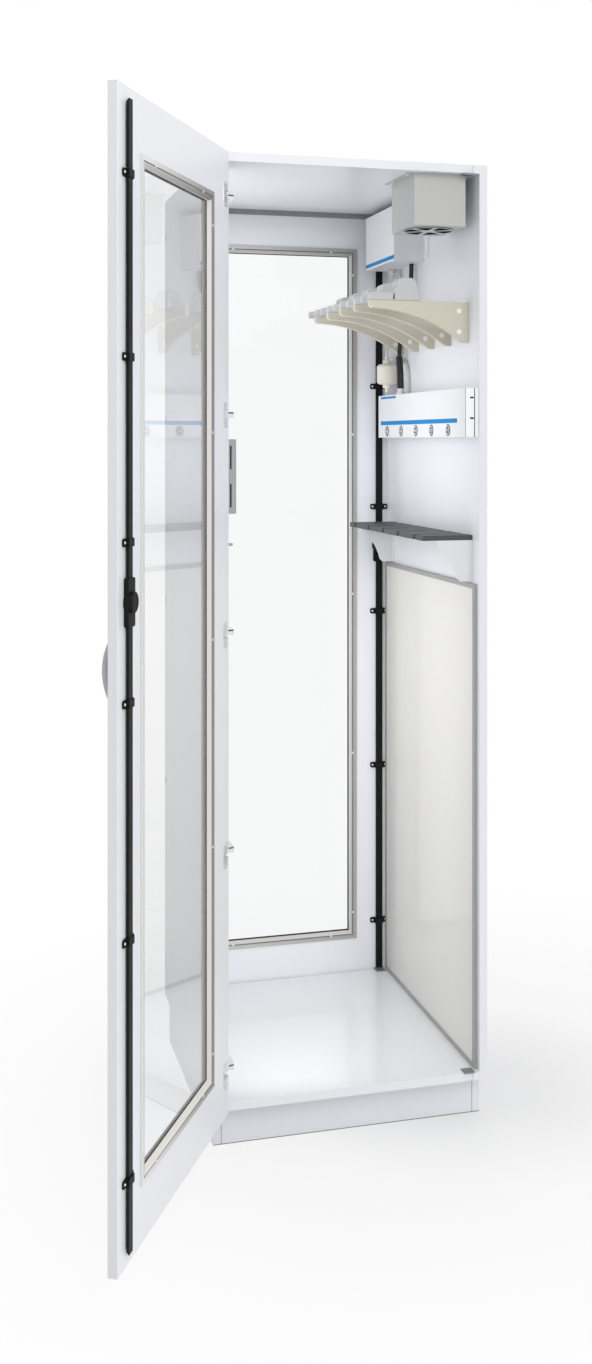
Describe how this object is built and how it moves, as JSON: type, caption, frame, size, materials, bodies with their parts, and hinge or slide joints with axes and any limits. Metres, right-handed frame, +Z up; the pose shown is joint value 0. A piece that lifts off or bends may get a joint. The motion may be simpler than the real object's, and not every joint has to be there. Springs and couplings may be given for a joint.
{
  "type": "drying cabinet",
  "caption": "Tall white free-standing cabinet with glazed doors front and rear, lock rods, ceiling fan, hangers with cradles, air manifold and notched rail for drying long flexible instruments.",
  "frame": {"origin": "on the floor, under the middle of the plinth", "axes": "+Z up, the open front door towards -Y, the side wall with the hangers towards +X"},
  "size_m": [0.897, 1.2044, 2.08],
  "materials": {
    "white_laminate": "satin white laminate on board",
    "pane": "clear polished glass",
    "gasket": "matt black seal",
    "trim_light": "light grey extruded trim",
    "trim_grey": "grey extruded trim",
    "cap_metal": "plated",
    "hinge_steel": "nickel plated",
    "rod_black": "black coated steel",
    "guide_black": "matt black",
    "knob_metal": "satin nickel",
    "handle_grey": "satin grey",
    "strip_dark": "dark grey seal",
    "strike_steel": "zinc plated",
    "fan_sheet": "light grey paint",
    "fan_white": "light grey moulded",
    "fan_black": "black moulded",
    "case_white": "white powder coat",
    "gland_metal": "nickel plated",
    "cable_black": "matt black",
    "hose_clear": "milky clear tube",
    "port_grey": "light grey moulded",
    "filter_beige": "beige moulded",
    "hanger_beige": "beige sheet plastic",
    "cradle_grey": "grey moulded",
    "rail_dark": "dark grey sheet",
    "gusset_white": "white powder coat",
    "drip_cream": "cream sheet",
    "edging_grey": "grey extruded edging",
    "bracket_white": "white powder coat",
    "cap_white": "white caps"
  },
  "bodies": {
    "cabinet": {"air_filter": "filter_beige", "air_hoses": "hose_clear", "cable_gland": "gland_metal", "ceiling_seal_strip": "strip_dark", "control_box": "case_white", "control_cable": "cable_black", "drip_panel": "drip_cream", "drip_panel_edging": "edging_grey", "fan_frame": "fan_black", "fan_guard": "fan_white", "fan_housing": "fan_sheet", "floor_panel": "white_laminate", "front_hinge_arms": "hinge_steel", "hanger_cradles": "cradle_grey", "left_side_panel": "white_laminate", "manifold_box": "case_white", "manifold_end_bracket": "bracket_white", "manifold_ports": "port_grey", "notched_rail": "rail_dark", "plinth_cross_boards": "white_laminate", "plinth_side_boards": "white_laminate", "rail_gussets": "gusset_white", "rear_hinge_arms": "hinge_steel", "right_side_panel": "white_laminate", "rod_strikes": "strike_steel", "scope_hanger_1": "hanger_beige", "scope_hanger_2": "hanger_beige", "scope_hanger_3": "hanger_beige", "scope_hanger_4": "hanger_beige", "scope_hanger_5": "hanger_beige", "screw_caps": "cap_white", "slotted_bracket": "bracket_white", "top_panel": "white_laminate"},
    "fan_rotor_body": {"fan_rotor": "fan_black"},
    "front_turn_knob_body": {"front_turn_knob": "knob_metal"},
    "front_upper_rod_body": {"front_upper_rod": "rod_black"},
    "front_lower_rod_body": {"front_lower_rod": "rod_black"},
    "front_door": {"front_door_handle": "handle_grey", "front_door_panel": "white_laminate", "front_glass_gaskets": "gasket", "front_hinge_cups": "hinge_steel", "front_inner_trim": "trim_light", "front_lock_case": "guide_black", "front_outer_trim": "trim_grey", "front_rod_guides": "guide_black", "front_trim_caps": "cap_metal", "front_window_glass": "pane"},
    "rear_turn_knob_body": {"rear_turn_knob": "knob_metal"},
    "rear_upper_rod_body": {"rear_upper_rod": "rod_black"},
    "rear_lower_rod_body": {"rear_lower_rod": "rod_black"},
    "rear_door": {"rear_door_handle": "handle_grey", "rear_door_panel": "white_laminate", "rear_glass_gaskets": "gasket", "rear_hinge_cups": "hinge_steel", "rear_inner_trim": "trim_light", "rear_lock_case": "guide_black", "rear_outer_trim": "trim_grey", "rear_rod_guides": "guide_black", "rear_trim_caps": "cap_metal", "rear_window_glass": "pane"}
  },
  "joints": [
    {"name": "front_door_hinge", "type": "hinge", "parent": "cabinet", "child": "front_door", "pos_m": [-0.291, -0.327, 1.085], "axis": [0, 0, 1], "range_deg": [0, 120]},
    {"name": "rear_door_hinge", "type": "hinge", "parent": "cabinet", "child": "rear_door", "pos_m": [-0.291, 0.327, 1.085], "axis": [0, 0, 1], "range_deg": [0, 120]},
    {"name": "front_knob_turn", "type": "hinge", "parent": "front_door", "child": "front_turn_knob_body", "pos_m": [-0.55684, -0.80745, 1.209], "axis": [-0.866, 0.5, 0], "range_deg": [0, 90]},
    {"name": "rear_knob_turn", "type": "hinge", "parent": "rear_door", "child": "rear_turn_knob_body", "pos_m": [0.258, 0.317, 1.209], "axis": [0, -1, 0], "range_deg": [0, 90]},
    {"name": "fan_spin", "type": "hinge", "parent": "cabinet", "child": "fan_rotor_body", "pos_m": [0.199, -0.215, 1.96], "axis": [0, 0, 1], "continuous": true},
    {"name": "front_upper_rod_slide", "type": "slide", "parent": "front_door", "child": "front_upper_rod_body", "axis": [0, 0, 1], "range_m": [0, 0.01178]},
    {"name": "front_lower_rod_slide", "type": "slide", "parent": "front_door", "child": "front_lower_rod_body", "axis": [0, 0, -1], "range_m": [0, 0.01178]},
    {"name": "rear_upper_rod_slide", "type": "slide", "parent": "rear_door", "child": "rear_upper_rod_body", "axis": [0, 0, 1], "range_m": [0, 0.01178]},
    {"name": "rear_lower_rod_slide", "type": "slide", "parent": "rear_door", "child": "rear_lower_rod_body", "axis": [0, 0, -1], "range_m": [0, 0.01178]}
  ],
  "couplings": [
    {"joint": "front_knob_turn", "follows": "front_upper_rod_slide", "rad_per_m": 133.33},
    {"joint": "front_lower_rod_slide", "follows": "front_upper_rod_slide", "ratio": 1},
    {"joint": "rear_knob_turn", "follows": "rear_upper_rod_slide", "rad_per_m": 133.33},
    {"joint": "rear_lower_rod_slide", "follows": "rear_upper_rod_slide", "ratio": 1}
  ]
}
